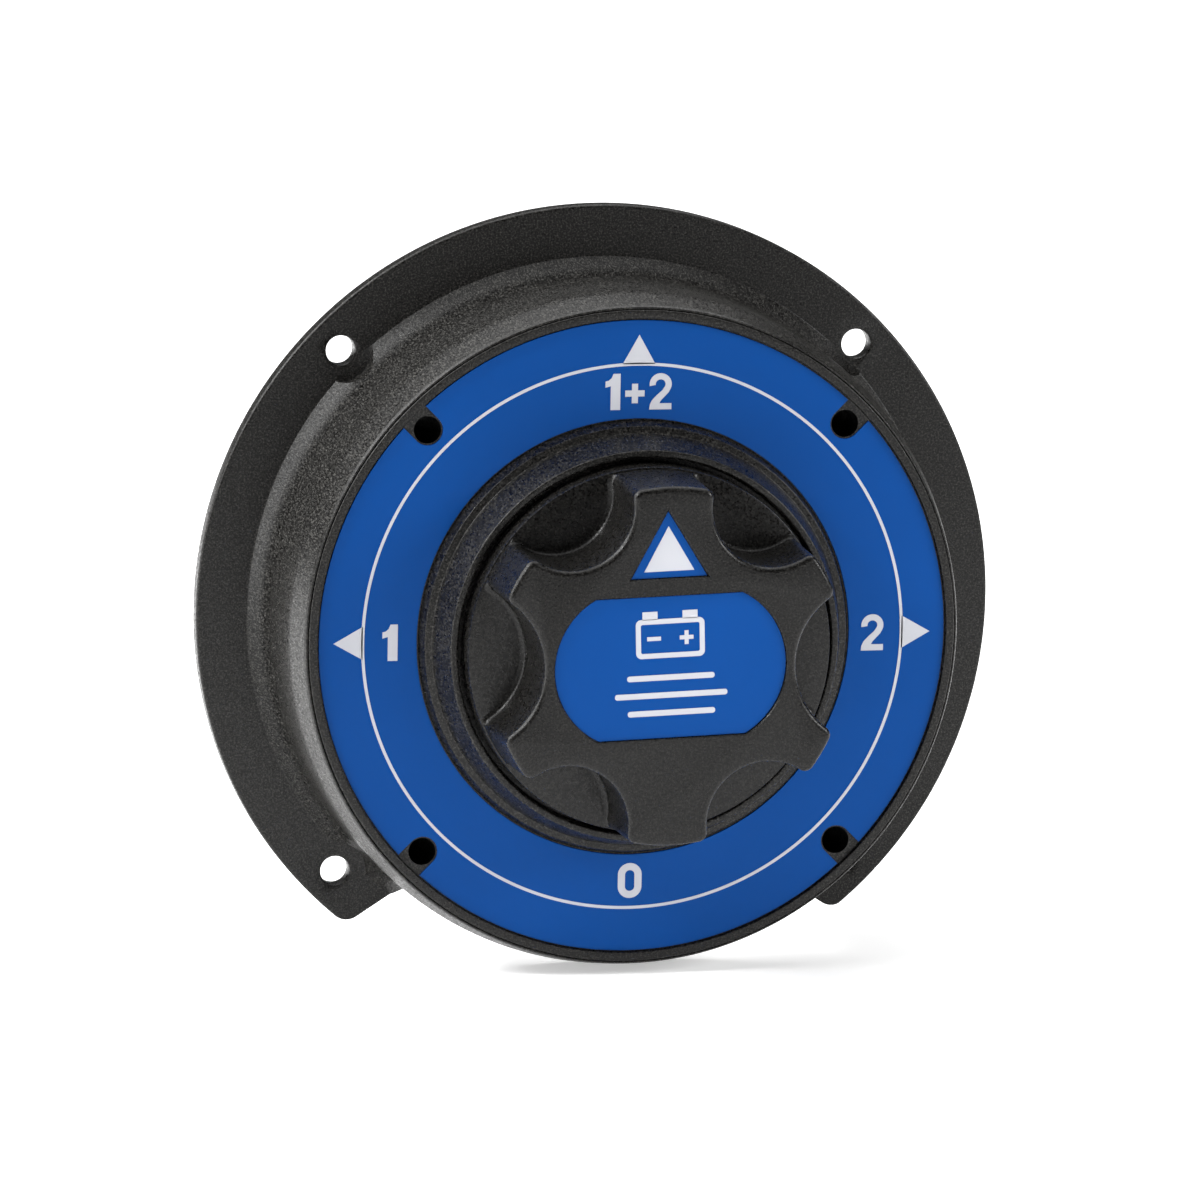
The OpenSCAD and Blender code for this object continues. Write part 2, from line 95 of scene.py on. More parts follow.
# Radii and circles
FLANGE_R = 66
FLANGE_HOLE_CIRCLE = 60.5
FLANGE_HOLE_R = 2.4
SPOTFACE_R = 5.1
FOOT_R = 57.7
FOOT_TOP_R = 55.0
WALL_R = 54.7
WALL_INNER_R = 51.5
RIM_EDGE_R = 53.35
MOUTH_R = 52.8
MOUTH_LAND = 0.3
LEDGE_R = 50.6
RIM_R = 52.7
RIM_INNER_R = 51.3
CHAMBER_OUTER_R = 44.5
CHAMBER_INNER_R = 37.5
COLLAR_FOOT_R = 35.0
COLLAR_R = 31.4
WELL_R = 30.3
BUSH_OUTER_R = 9
BUSH_BORE_R = 6.5
DIAL_HOLE_CIRCLE = 48
DIAL_HOLE_R = 2.2
DIAL_BOSS_R = 3.3
DIAL_BOSS_Z = 12
LABEL_R = 51.05
LABEL_HOLE_R = 35.3
WHITE_LINE_R = 44
STUD_CIRCLE = 28
STUD_ANGLES = (150, 30, 270)
STUD_R = 5
COVER_SCREW_CIRCLE = 41
EAR_CIRCLE = 48.2
EAR_R = 3.6
EAR_HOLE_R = 1.5

# Springs
SPRING_CIRCLE = 20
BRIDGE_TOP_Z = 22.8
ROTOR_Z = 26.2
PLUNGER_Z = 32.3
PLUNGER_BACK = 24.5
GUIDE_END = 29.6


def row(x, y, z):
    """A dial-space point in the frame's metres."""
    return Vector((x, -z, y)) * MM


def polar(radius, degrees):
    """The x and y of a point given by radius and angle."""
    a = math.radians(degrees)
    return radius * math.cos(a), radius * math.sin(a)


def rectangle(x, y, width, height):
    """A rectangle's outline, centred on a point."""
    w, h = width / 2, height / 2
    return [(x - w, y - h), (x + w, y - h), (x + w, y + h), (x - w, y + h)]


# ---------------------------------------------------------------- outlines and meshes

def rounded(corners, steps=5):
    """Points of a closed outline given as (u, v, fillet radius), with each corner as an arc."""
    points = []
    count = len(corners)
    for i, (u, v, radius) in enumerate(corners):
        here = Vector((u, v))
        back = Vector(corners[i - 1][:2]) - here
        ahead = Vector(corners[(i + 1) % count][:2]) - here
        if radius <= 0:
            points.append((u, v))
            continue
        half = back.angle(ahead) / 2
        reach = radius / math.tan(half)
        reach = min(reach, 0.49 * back.length, 0.49 * ahead.length)
        radius = reach * math.tan(half)
        start = here + back.normalized() * reach
        end = here + ahead.normalized() * reach
        middle = (back.normalized() + ahead.normalized()).normalized()
        centre = here + middle * radius / math.sin(half)
        for k in range(steps + 1):
            spoke = (start - centre).lerp(end - centre, k / steps).normalized() * radius
            points.append(tuple(centre + spoke))
    return points


def build(name, rings, closed=False):
    """A mesh object lofted through rings of dial-space points, each ring with as many points.

    A closed loft joins its last ring to its first; an open one has flat ends."""
    mesh = bmesh.new()
    loops = [[mesh.verts.new(row(*p)) for p in ring] for ring in rings]
    pairs = list(zip(loops, loops[1:]))
    if closed:
        pairs.append((loops[-1], loops[0]))
    for low, high in pairs:
        for k in range(len(low)):
            n = (k + 1) % len(low)
            mesh.faces.new((low[k], low[n], high[n], high[k]))
    if not closed:
        mesh.faces.new(reversed(loops[0]))
        mesh.faces.new(loops[-1])
    bmesh.ops.remove_doubles(mesh, verts=mesh.verts, dist=1e-6)
    bmesh.ops.dissolve_degenerate(mesh, edges=mesh.edges, dist=1e-7)
    bmesh.ops.recalc_face_normals(mesh, faces=mesh.faces)
    data = bpy.data.meshes.new(name)
    mesh.to_mesh(data)
    mesh.free()
    obj = bpy.data.objects.new(name, data)
    bpy.context.scene.collection.objects.link(obj)
    return obj


def lathe(name, profile, centre=(0, 0), steps=360):
    """A closed (radius, z) outline turned about an axis through centre, along the knob's axis."""
    rings = []
    for k in range(steps):
        c = math.cos(TURN * k / steps)
        s = math.sin(TURN * k / steps)
        rings.append([(centre[0] + r * c, centre[1] + r * s, z) for r, z in profile])
    return build(name, rings, closed=True)


def spindle(name, profile, centre=(0, 0), steps=48):
    """An open (radius, z) outline turned into a solid, with flat ends."""
    rings = []
    for r, z in profile:
        rings.append([(centre[0] + r * math.cos(TURN * k / steps),
                       centre[1] + r * math.sin(TURN * k / steps), z) for k in range(steps)])
    return build(name, rings)


def prism(name, outline, low, high):
    """A flat outline given a thickness."""
    return build(name, [[(x, y, low) for x, y in outline], [(x, y, high) for x, y in outline]])


def hollow_prism(name, outer, inner, low, high):
    """Two outlines with as many points each, the second a hole in the first."""
    rings = [[(x, y, z) for x, y in outline]
             for outline, z in ((outer, low), (outer, high), (inner, high), (inner, low))]
    return build(name, rings, closed=True)


def join(name, parts):
    """One mesh object made from several, which are removed."""
    mesh = bmesh.new()
    for part in parts:
        mesh.from_mesh(part.data)
        bpy.data.objects.remove(part)
    data = bpy.data.meshes.new(name)
    mesh.to_mesh(data)
    mesh.free()
    obj = bpy.data.objects.new(name, data)
    bpy.context.scene.collection.objects.link(obj)
    return obj


def carve(obj, cutters, operation="DIFFERENCE"):
    """Cuts the cutters out of obj, or adds them with UNION, and removes them."""
    cutter = join("cutter", cutters)
    change = obj.modifiers.new("carve", "BOOLEAN")
    change.operation = operation
    change.solver = "EXACT"
    change.object = cutter
    graph = bpy.context.evaluated_depsgraph_get()
    data = bpy.data.meshes.new_from_object(obj.evaluated_get(graph))
    obj.modifiers.clear()
    obj.data = data
    bpy.data.objects.remove(cutter)
    return obj


def turned(obj, degrees):
    """Turns a piece's mesh about the knob's axis, anticlockwise on the dial."""
    obj.data.transform(Matrix.Rotation(-math.radians(degrees), 4, "Y"))
    return obj


def moved(obj, x, y):
    """Shifts a piece's mesh across the dial by millimetres."""
    obj.data.transform(Matrix.Translation(row(x, y, 0)))
    return obj


def smooth(obj, limit):
    """Smooth shading, with edges over the limit in degrees kept sharp."""
    mesh = bmesh.new()
    mesh.from_mesh(obj.data)
    for face in mesh.faces:
        face.smooth = True
    for edge in mesh.edges:
        shallow = edge.calc_face_angle(0) < math.radians(limit)
        edge.smooth = len(edge.link_faces) == 2 and shallow
    mesh.to_mesh(obj.data)
    mesh.free()


def place(obj, body, material, replaces=(), limit=38):
    """Finishes a piece: shading, material, the body it rides on and the nodes it stands for.

    body is a name, or (body, body, start, end) for a piece between two bodies, which is only baked
    in place: the tuple's bodies and ends are not used."""
    smooth(obj, limit)
    obj.data.materials.clear()
    obj.data.materials.append(material)
    if isinstance(body, tuple):
        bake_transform(obj)
    else:
        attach(obj, body)
    if replaces:
        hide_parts(*replaces)
    return obj


def ease_edges(obj, width):
    """Small rounded edges of a width in millimetres, as modifiers."""
    weld = obj.modifiers.new("weld", "WELD")
    weld.merge_threshold = 1e-6
    bevel = obj.modifiers.new("ease", "BEVEL")
    bevel.width = width * MM
    bevel.segments = 2
    bevel.limit_method = "ANGLE"
    bevel.angle_limit = math.radians(40)
    bevel.harden_normals = True


# ---------------------------------------------------------------- materials

class Recipe:
    """A small helper that builds a node material around one Principled shader."""

    def __init__(self, name, color, roughness, metallic=0.0):
        self.material = bpy.data.materials.new(name)
        self.material.use_nodes = True
        self.tree = self.material.node_tree
        self.shader = self.tree.nodes["Principled BSDF"]
        self.shader.inputs["Base Color"].default_value = (*color, 1)
        self.shader.inputs["Roughness"].default_value = roughness
        self.shader.inputs["Metallic"].default_value = metallic
        self.place = self.node("ShaderNodeTexCoord").outputs["Object"]

    def node(self, kind):
        return self.tree.nodes.new(kind)

    def noise(self, scale, detail=2.0, roughness=0.5, depth=1.0):
        """Noise in the piece's own metres, drawn out along the knob's axis where depth is low."""
        made = self.node("ShaderNodeTexNoise")
        made.inputs["Scale"].default_value = scale
        made.inputs["Detail"].default_value = detail
        made.inputs["Roughness"].default_value = roughness
        spread = self.node("ShaderNodeMapping")
        spread.inputs["Scale"].default_value = (1, depth, 1)
        self.tree.links.new(self.place, spread.inputs["Vector"])
        self.tree.links.new(spread.outputs["Vector"], made.inputs["Vector"])
        return made.outputs["Fac"]

    def between(self, value, low, high):
        """A 0 to 1 value spread over a new range."""
        made = self.node("ShaderNodeMapRange")
        made.inputs["From Min"].default_value = 0.3
        made.inputs["From Max"].default_value = 0.7
        made.inputs["To Min"].default_value = low
        made.inputs["To Max"].default_value = high
        self.tree.links.new(value, made.inputs["Value"])
        return made.outputs["Result"]

    def tint(self, value, low, high, start=0.3, end=0.7):
        """The base colour runs from one colour to another with a value."""
        ramp = self.node("ShaderNodeValToRGB")
        ramp.color_ramp.elements[0].position = start
        ramp.color_ramp.elements[0].color = (*low, 1)
        ramp.color_ramp.elements[1].position = end
        ramp.color_ramp.elements[1].color = (*high, 1)
        self.tree.links.new(value, ramp.inputs["Fac"])
        self.tree.links.new(ramp.outputs["Color"], self.shader.inputs["Base Color"])

    def gloss(self, value, low, high):
        """The roughness runs from low to high with a value."""
        self.tree.links.new(self.between(value, low, high), self.shader.inputs["Roughness"])

    def bump(self, heights, strength, depth):
        """A fine relief, depth in metres."""
        made = self.node("ShaderNodeBump")
        made.inputs["Strength"].default_value = strength
        made.inputs["Distance"].default_value = depth
        self.tree.links.new(heights, made.inputs["Height"])
        self.tree.links.new(made.outputs["Normal"], self.shader.inputs["Normal"])


def moulded_plastic(name, dark, fleck_and_glint, rough, grain=3300, drawn=0.45):
    """Satin plastic with the fine spark-eroded grain of a mould, and lighter flecks in its base
    colour that are partly the grain's own tone and partly painted glints.

    drawn is how far the grain keeps its size along the knob's axis: 1 is even in all directions."""
    recipe = Recipe(name, dark, rough)
    # Lighter flecks in the base colour: partly grain tone, partly painted glints standing in for
    # the mould grain's sparkle.
    recipe.tint(recipe.noise(grain, 2, 0.6, drawn), dark, fleck_and_glint, 0.48, 0.72)
    recipe.gloss(recipe.noise(grain * 0.7, 2, 0.6, drawn + 0.15), rough - 0.12, rough + 0.2)
    recipe.bump(recipe.noise(grain * 0.8, 2, 0.6, drawn + 0.25), 1.0, 0.00004)
    recipe.shader.inputs["Specular IOR Level"].default_value = 0.24
    return recipe.material


def printed_film(name, dark, light, rough=0.22):
    """Glossy printed polyester film, very slightly uneven."""
    recipe = Recipe(name, dark, rough)
    recipe.tint(recipe.noise(25, 2), dark, light)
    recipe.gloss(recipe.noise(400, 2), rough - 0.03, rough + 0.05)
    recipe.bump(recipe.noise(700, 2), 0.05, 0.00001)
    recipe.shader.inputs["Specular IOR Level"].default_value = 0.06
    return recipe.material


def metal(name, dark, light, rough):
    """Turned or rolled metal with faint cloudy wear."""
    scale = 700
    recipe = Recipe(name, light, rough, metallic=1.0)
    recipe.tint(recipe.noise(scale, 5, 0.6), dark, light)
    recipe.gloss(recipe.noise(scale * 2, 4), rough - 0.06, rough + 0.1)
    recipe.bump(recipe.noise(scale * 4, 3), 0.1, 0.00002)
    return recipe.material


def soft_rubber(name):
    """Dull black seal rubber."""
    recipe = Recipe(name, (0.015, 0.015, 0.015), 0.7)
    recipe.tint(recipe.noise(200, 3), (0.012, 0.012, 0.012), (0.025, 0.025, 0.025))
    recipe.bump(recipe.noise(2500, 2), 0.2, 0.00004)
    return recipe.material


BLACK = moulded_plastic("black_plastic", (0.0022, 0.0020, 0.0018), (0.046, 0.044, 0.040), 0.32)
# A lit copy of the black plastic for the housing's outer wall: its lighter flecks are painted
# glints where the lamps rake the wall.
WALL_GLINT_PLASTIC = moulded_plastic("wall_plastic_painted_glints", (0.0022, 0.0020, 0.0018), (0.068, 0.066, 0.061), 0.32,
                             grain=4200, drawn=0.28)
KNOB_BLACK = moulded_plastic("knob_plastic", (0.0020, 0.0018, 0.0016), (0.022, 0.021, 0.019), 0.30)
COVER_BLACK = moulded_plastic("cover_plastic", (0.010, 0.010, 0.010), (0.040, 0.040, 0.038), 0.45,
                              grain=2400)
# Painted shade: a near-black, rough and barely reflecting copy of the plastic for the inside of the
# dial's holes, where shade falls.
BORE_PAINTED_SHADE = moulded_plastic("bore_painted_shade", (0.002, 0.002, 0.002), (0.004, 0.004, 0.004), 0.85)
BORE_PAINTED_SHADE.node_tree.nodes["Principled BSDF"].inputs["Specular IOR Level"].default_value = 0.02
BLUE = printed_film("label_blue", (0.0018, 0.055, 0.25), (0.0022, 0.061, 0.277))
WHITE = printed_film("print_white", (0.50, 0.51, 0.55), (0.55, 0.56, 0.60), 0.4)
STEEL = metal("stainless_steel", (0.30, 0.30, 0.31), (0.40, 0.40, 0.41), 0.3)
COPPER = metal("bare_copper", (0.50, 0.23, 0.14), (0.62, 0.33, 0.21), 0.33)
NYLON = moulded_plastic("natural_nylon", (0.60, 0.58, 0.51), (0.70, 0.68, 0.60), 0.5, grain=1500)
RUBBER = soft_rubber("seal_rubber")


# ---------------------------------------------------------------- housing

def flared_cutter(radius, centre, low, high, flare, flare_low, flare_high):
    """A round cutter that opens out by flare where it passes the two faces it drills."""
    eased = flare * 0.3
    profile = [(radius + flare + (flare_low - low), low), (radius + flare, flare_low),
               (radius + eased, flare_low + eased), (radius, flare_low + flare),
               (radius, flare_high - flare), (radius + eased, flare_high - eased),
               (radius + flare, flare_high), (radius + flare + (high - flare_high), high)]
    return spindle("cutter", profile, centre, 64)


def outlet_cutter():
    """The cable outlet: straight sides through the wall, flaring out between the flange's lugs."""
    side, top, depth = 31, -30, 21
    step_y, clear_y = -44.4, -90
    corner_r = 3
    root = Vector((side + 2, -46.5))
    along = (Vector((side + 7.4, -50)) - root).normalized()
    inward = Vector((-along.y, along.x))
    start = root + inward * corner_r
    toward = start.dot(along)
    run = math.sqrt(toward ** 2 - start.dot(start) + (FLANGE_R - corner_r) ** 2) - toward
    centre = start + along * run
    first = root + along * run - centre
    last = centre.normalized() * corner_r
    arc = [tuple(centre + first.lerp(last, k / 8).normalized() * corner_r) for k in range(9)]
    far = tuple(centre * 1.3)
    half = [(side, step_y), tuple(root)] + arc + [far, (far[0], clear_y)]
    outline = [(side, top)] + half
    outline += [(-x, y) for x, y in reversed(outline)]
    return prism("cutter", outline, -2, depth)


def mounting_housing():
    """The screw flange, foot, leaning wall and inner ledge, with the outlet cut through them."""
    profile = rounded([
        (WALL_INNER_R, 0, 0.3), (FLANGE_R, 0, 0.3), (FLANGE_R, FLANGE_T, 0.5),
        (FOOT_R, FLANGE_T, 0.35), (FOOT_TOP_R, FOOT_TOP_Z, 8), (WALL_R, WALL_MIDDLE_Z, 60),
        (WALL_R, LEAN_Z, 14), (RIM_EDGE_R, RIM_EDGE_Z, 0.4),
        (MOUTH_R + MOUTH_LAND, FRONT_Z, 0.2), (MOUTH_R, FRONT_Z, 0.12),
        (MOUTH_R, SEAT_Z, 0), (LEDGE_R, SEAT_Z, 0.1), (LEDGE_R, LEDGE_Z, 0.2),
        (WALL_INNER_R, LEDGE_Z - 1, 0.4)])
    body = lathe("mounting_housing", profile)
    ears = [spindle("ear", [(EAR_R, LEDGE_Z), (EAR_R, SEAT_Z - 0.05)], polar(EAR_CIRCLE, a))
            for a in QUARTERS]
    body = carve(body, ears, "UNION")
    cutters = [outlet_cutter()]
    for a in DIAGONALS:
        spotface = [(SPOTFACE_R - 0.35, FLANGE_T), (SPOTFACE_R - 0.1, FLANGE_T + 0.1),
                    (SPOTFACE_R, FLANGE_T + 0.35), (SPOTFACE_R, 9)]
        cutters.append(spindle("cutter", spotface, polar(FLANGE_HOLE_CIRCLE, a), 96))
    body = carve(body, cutters)
    holes = [flared_cutter(FLANGE_HOLE_R, polar(FLANGE_HOLE_CIRCLE, a), -1, FLANGE_T + 1,
                           0.25, 0, FLANGE_T) for a in DIAGONALS]
    holes += [spindle("cutter", [(EAR_HOLE_R, 20), (EAR_HOLE_R, SEAT_Z + 1)],
                      polar(EAR_CIRCLE, a)) for a in QUARTERS]
    body = place(carve(body, holes), "root", BLACK, ["mounting_housing"])
    # The outer wall's faces take the lit copy of the plastic, whose lighter flecks are painted
    # glints.
    body.data.materials.append(WALL_GLINT_PLASTIC)
    for face in body.data.polygons:
        across = math.hypot(face.center.x, face.center.z) / MM
        height = -face.center.y / MM
        if across > MOUTH_R + 0.4 and FLANGE_T + 0.6 < height < FRONT_Z - 0.7:
            face.material_index = 1


def face_body():
    """The rim, dial floor, stepped collar, well with its bush boss, and the chamber wall behind."""
    profile = rounded([
        (BUSH_BORE_R, WELL_BACK_Z, 0), (BUSH_BORE_R, BUSH_Z, 0.2), (BUSH_OUTER_R, BUSH_Z, 0.3),
        (BUSH_OUTER_R, WELL_Z, 0.5), (WELL_R, WELL_Z, 0.4), (WELL_R, COLLAR_Z, 0.3),
        (COLLAR_R, COLLAR_Z, 0.35), (33.25, 33.9, 0.25), (34.35, 33.75, 0.25),
        (COLLAR_FOOT_R, FLOOR_Z, 0.2), (RIM_INNER_R, FLOOR_Z, 0.1), (RIM_INNER_R, RIM_Z, 0.12),
        (RIM_R, RIM_Z, 0.25), (RIM_R, SEAT_Z, 0.1), (CHAMBER_OUTER_R, SEAT_Z, 0.3),
        (CHAMBER_OUTER_R, CHAMBER_Z, 0.2), (CHAMBER_INNER_R, CHAMBER_Z, 0.2),
        (CHAMBER_INNER_R, SEAT_Z, 0.3), (WELL_R, SEAT_Z, 0.2), (WELL_R, WELL_BACK_Z, 0.3)])
    body = lathe("face_body", profile)
    boss = [(DIAL_BOSS_R, DIAL_BOSS_Z), (DIAL_BOSS_R, SEAT_Z + 1)]
    bosses = [spindle("boss", boss, polar(DIAL_HOLE_CIRCLE, a)) for a in DIAGONALS]
    body = carve(body, bosses, "UNION")
    bore = [(DIAL_HOLE_R, DIAL_BOSS_Z - 1), (DIAL_HOLE_R, 34)]
    holes = [spindle("cutter", bore, polar(DIAL_HOLE_CIRCLE, a)) for a in DIAGONALS]
    body = place(carve(body, holes), "root", BLACK, ["face_body"])
    # Faces inside the dial's holes take the painted shade.
    body.data.materials.append(BORE_PAINTED_SHADE)
    centres = [row(*polar(DIAL_HOLE_CIRCLE, a), 0) for a in DIAGONALS]
    for face in body.data.polygons:
        for centre in centres:
            away = Vector((face.center.x - centre.x, face.center.z - centre.z)).length
            if away < (DIAL_HOLE_R + 0.02) * MM:
                face.material_index = 1


def dial_label():
    """The blue ring, with a slot from its edge round each hole in the dial."""
    slot_r = DIAL_HOLE_R + 0.25
    low, high, ease = FLOOR_Z, LABEL_Z, 0.04
    label = lathe("dial_label", [(LABEL_HOLE_R, low), (LABEL_R, low), (LABEL_R, high - ease),
                                 (LABEL_R - ease, high), (LABEL_HOLE_R + ease, high),
                                 (LABEL_HOLE_R, high - ease)])
    slots = []
    for a in DIAGONALS:
        arc = [polar(slot_r, t) for t in range(90, 271, 6)]
        outline = arc + [(4, -slot_r), (4, slot_r)]
        slots.append(turned(moved(prism("cutter", outline, low - 1, high + 1),
                                  DIAL_HOLE_CIRCLE, 0), a))
    label = place(carve(label, slots), "root", BLUE, ["dial_label"], limit=20)
    ease_edges(label, 0.08)


# ---------------------------------------------------------------- printed marks

def arc_points(cx, cy, rx, ry, start, end, steps=14):
    """Points along part of an ellipse, from one angle to another in degrees."""
    angles = [math.radians(start + (end - start) * k / steps) for k in range(steps + 1)]
    return [(cx + rx * math.cos(a), cy + ry * math.sin(a)) for a in angles]


def figure_one(height):
    """A bold numeral 1. Each figure gives its outlines and its width."""
    h = height
    outline = [(0.15 * h, 0), (0.42 * h, 0), (0.42 * h, h), (0.22 * h, h), (0.17 * h, 0.88 * h),
               (0.09 * h, 0.81 * h), (0, 0.79 * h), (0, 0.62 * h), (0.15 * h, 0.66 * h)]
    return [outline], 0.42 * h


def figure_two(height):
    """A bold numeral 2."""
    h = height
    w = 0.62 * h
    t = 0.17 * h
    middle = (w / 2, 0.7 * h)
    outside = arc_points(*middle, w / 2, 0.3 * h, -32, 190, 24)
    inside = arc_points(*middle, w / 2 - t, 0.3 * h - t, 190, -28, 20)
    outline = [(0, 0), (w, 0), (w, 0.17 * h), (0.45 * w, 0.17 * h), (0.52 * w, 0.25 * h),
               (0.74 * w, 0.39 * h), (0.86 * w, 0.47 * h)]
    outline += outside + inside
    outline += [(0.58 * w, 0.53 * h), (0.34 * w, 0.40 * h), (0.12 * w, 0.26 * h),
                (0.02 * w, 0.13 * h)]
    return [outline], w


def cross(x, y, half_length, half_width):
    """A plus sign's outline, centred on a point."""
    a, b = half_width, half_length
    corners = [(-b, -a), (-a, -a), (-a, -b), (a, -b), (a, -a), (b, -a),
               (b, a), (a, a), (a, b), (-a, b), (-a, a), (-b, a)]
    return [(x + u, y + v) for u, v in corners]


def figure_plus(height):
    """A bold plus sign, drawn on the numerals' middle line."""
    half = 0.27 * height
    return [cross(half, 0.45 * height, half, 0.085 * height)], 2 * half


def print_marks(figures, height, centre, gap, low):
    """Numerals in a row, centred on a point, as thin raised ink."""
    drawn = [figure(height) for figure in figures]
    total = sum(width for _, width in drawn) + gap * (len(drawn) - 1)
    x = centre[0] - total / 2
    parts = []
    for outlines, width in drawn:
        for outline in outlines:
            shape = [(px + x, py + centre[1] - height / 2) for px, py in outline]
            parts.append(prism("print", shape, low, low + PRINT_T))
        x += width + gap
    return parts


def stadium(width, height, radius, steps=10):
    """A rectangle with round corners, centred on the origin."""
    x, y = width / 2, height / 2
    return rounded([(x, -y, radius), (x, y, radius), (-x, y, radius), (-x, -y, radius)], steps)


def dial_print():
    """The white line with its three pointers, and the four positions: 1, 2, 1+2 and 0."""
    low, high = LABEL_Z, LABEL_Z + PRINT_T
    inner, outer = WHITE_LINE_R - 0.24, WHITE_LINE_R + 0.24
    parts = [lathe("print", [(inner, low), (outer, low), (outer, high), (inner, high)])]
    arrow = [(WHITE_LINE_R, -2.65), (48.7, 0), (WHITE_LINE_R, 2.65)]
    for a in (0, 90, 180):
        parts.append(turned(prism("print", arrow, low, high), a))
    marks_r = 39.6
    parts += print_marks([figure_one], 5.85, (-marks_r, 0), 0, low)
    parts += print_marks([figure_two], 5.9, (marks_r - 0.4, 0), 0, low)
    parts += print_marks([figure_one, figure_plus, figure_two], 5.8, (0, marks_r), 0.8, low)
    nought = [[(x, y - marks_r) for x, y in outline]
              for outline in (stadium(3.9, 5.7, 1.9), stadium(1.55, 3.4, 0.75))]
    parts.append(hollow_prism("print", *nought, low, high))
    place(join("dial_print", parts), "root", WHITE, limit=20)


# ---------------------------------------------------------------- knob

TIP_FILLET = 1.5
TOP_FILLET = 0.9
FOOT_FILLET = 1.0
LOBE_TOP_R = 28.5
LOBE_LOW_R = 28.95
DISC_R = 29.3
DISC_LOW_Z = 38.3
CUP_R = 26.5
CUP_Z = 42.2
LABEL_TURN = 2
# Each scallop's angle, radius and distance from the knob's middle
SCALLOPS = ((0, 12.7, 32.8), (57.5, 9.7, 29.8), (122.5, 9.7, 29.8),
            (180, 12.7, 32.8), (237.5, 9.7, 29.8), (302.5, 9.7, 29.8))


def swing(cx, cy, radius, start, end, steps):
    """Points on a circle from one angle to another, in radians."""
    return [(cx + radius * math.cos(start + (end - start) * k / steps),
             cy + radius * math.sin(start + (end - start) * k / steps))
            for k in range(steps + 1)]


def lobed_outline(tip_r, inset):
    """The knob's outline, moved in by inset. Tips, corners and scallops stay true arcs."""
    a = tip_r - TIP_FILLET
    corners = []
    for angle, radius, circle in SCALLOPS:
        b = radius + TIP_FILLET
        at_middle = math.acos((a * a + circle * circle - b * b) / (2 * a * circle))
        at_scallop = math.acos((b * b + circle * circle - a * a) / (2 * b * circle))
        corners.append((math.radians(angle), at_middle, at_scallop, radius, circle))
    points = []
    for i, (angle, at_middle, at_scallop, radius, circle) in enumerate(corners):
        cx, cy = circle * math.cos(angle), circle * math.sin(angle)
        for side in (-1, 1):
            spoke = angle + side * at_middle
            fx, fy = a * math.cos(spoke), a * math.sin(spoke)
            inner = math.atan2(cy - fy, cx - fx)
            turn = (inner - spoke + math.pi) % TURN - math.pi
            sweep = (spoke, spoke + turn) if side < 0 else (spoke + turn, spoke)
            points += swing(fx, fy, TIP_FILLET - inset, *sweep, 7)
            if side < 0:
                facing = angle + math.pi
                points += swing(cx, cy, radius + inset, facing + at_scallop,
                                facing - at_scallop, 26)[1:-1]
        ahead, ahead_middle = corners[(i + 1) % len(corners)][:2]
        start = angle + at_middle
        end = ahead - ahead_middle + (TURN if ahead < angle else 0)
        points += swing(0, 0, tip_r - inset, start, end, 12)[1:-1]
    return points


def held_in(points, limit):
    """Points drawn in so that none is further from the middle than the limit."""
    kept = []
    for x, y in points:
        share = min(1.0, limit / math.hypot(x, y))
        kept.append((x * share, y * share))
    return kept


def badge_outline(grow=0.0):
    """The main label's outline: straight top and bottom, round ends."""
    radius = 12.7 + grow
    half_h = 11.2 + grow
    end_x = 5.75
    spread = math.degrees(math.asin(half_h / radius))
    right = arc_points(end_x, 0, radius, radius, -spread, spread, 28)
    left = arc_points(-end_x, 0, radius, radius, 180 - spread, 180 + spread, 28)
    return right + left


def pointer_outline(grow=0.0, base=14.2, tip=24.6, half_w=6.05):
    """The triangle above the main label, pointing at the chosen position."""
    return [(-half_w - 1.7 * grow, base - grow), (half_w + 1.7 * grow, base - grow),
            (0, tip + 2 * grow)]


def recess_cutter(outline):
    """A recess a little larger than a label, with an eased rim."""
    gap, rim = 0.12, 0.18
    levels = ((gap, BADGE_Z), (gap, KNOB_Z - rim), (gap + rim, KNOB_Z), (gap + rim, KNOB_Z + 1))
    rings = [[(x, y, z) for x, y in outline(grow)] for grow, z in levels]
    return turned(build("cutter", rings), LABEL_TURN)


def knob():
    """Rings from the top's fillet down the lobes, over the base disc and up into its hollow."""
    rings = []
    levels = 6
    straight_top = KNOB_Z - TOP_FILLET
    straight_low = DISC_Z + FOOT_FILLET
    for k in range(levels + 1):
        a = math.pi / 2 * k / levels
        inset = TOP_FILLET * (1 - math.sin(a))
        z = straight_top + TOP_FILLET * math.cos(a)
        rings.append([(x, y, z) for x, y in lobed_outline(LOBE_TOP_R, inset)])
    for k in range(1, 6):
        t = k / 5
        z = straight_top + (straight_low - straight_top) * t
        radius = LOBE_TOP_R + (LOBE_LOW_R - LOBE_TOP_R) * t
        rings.append([(x, y, z) for x, y in lobed_outline(radius, 0)])
    for k in range(1, levels + 1):
        a = math.pi / 2 * k / levels
        inset = -FOOT_FILLET * (1 - math.cos(a))
        z = straight_low - FOOT_FILLET * math.sin(a)
        shape = held_in(lobed_outline(LOBE_LOW_R, inset), DISC_R - 0.35)
        rings.append([(x, y, z) for x, y in shape])
    angles = [math.atan2(y, x) for x, y in lobed_outline(LOBE_LOW_R, 0)]
    ease = 0.3
    disc = [(DISC_R - ease, DISC_Z), (DISC_R - 0.1, DISC_Z - 0.1), (DISC_R, DISC_Z - 0.35),
            (DISC_R, DISC_LOW_Z + ease), (DISC_R - ease, DISC_LOW_Z),
            (CUP_R + ease, DISC_LOW_Z), (CUP_R, DISC_LOW_Z + ease), (CUP_R, CUP_Z)]
    for r, z in disc:
        rings.append([(r * math.cos(a), r * math.sin(a), z) for a in angles])
    body = build("knob", rings)
    body = carve(body, [recess_cutter(badge_outline), recess_cutter(pointer_outline)])
    place(body, "knob", KNOB_BLACK, ["knob"], limit=40)


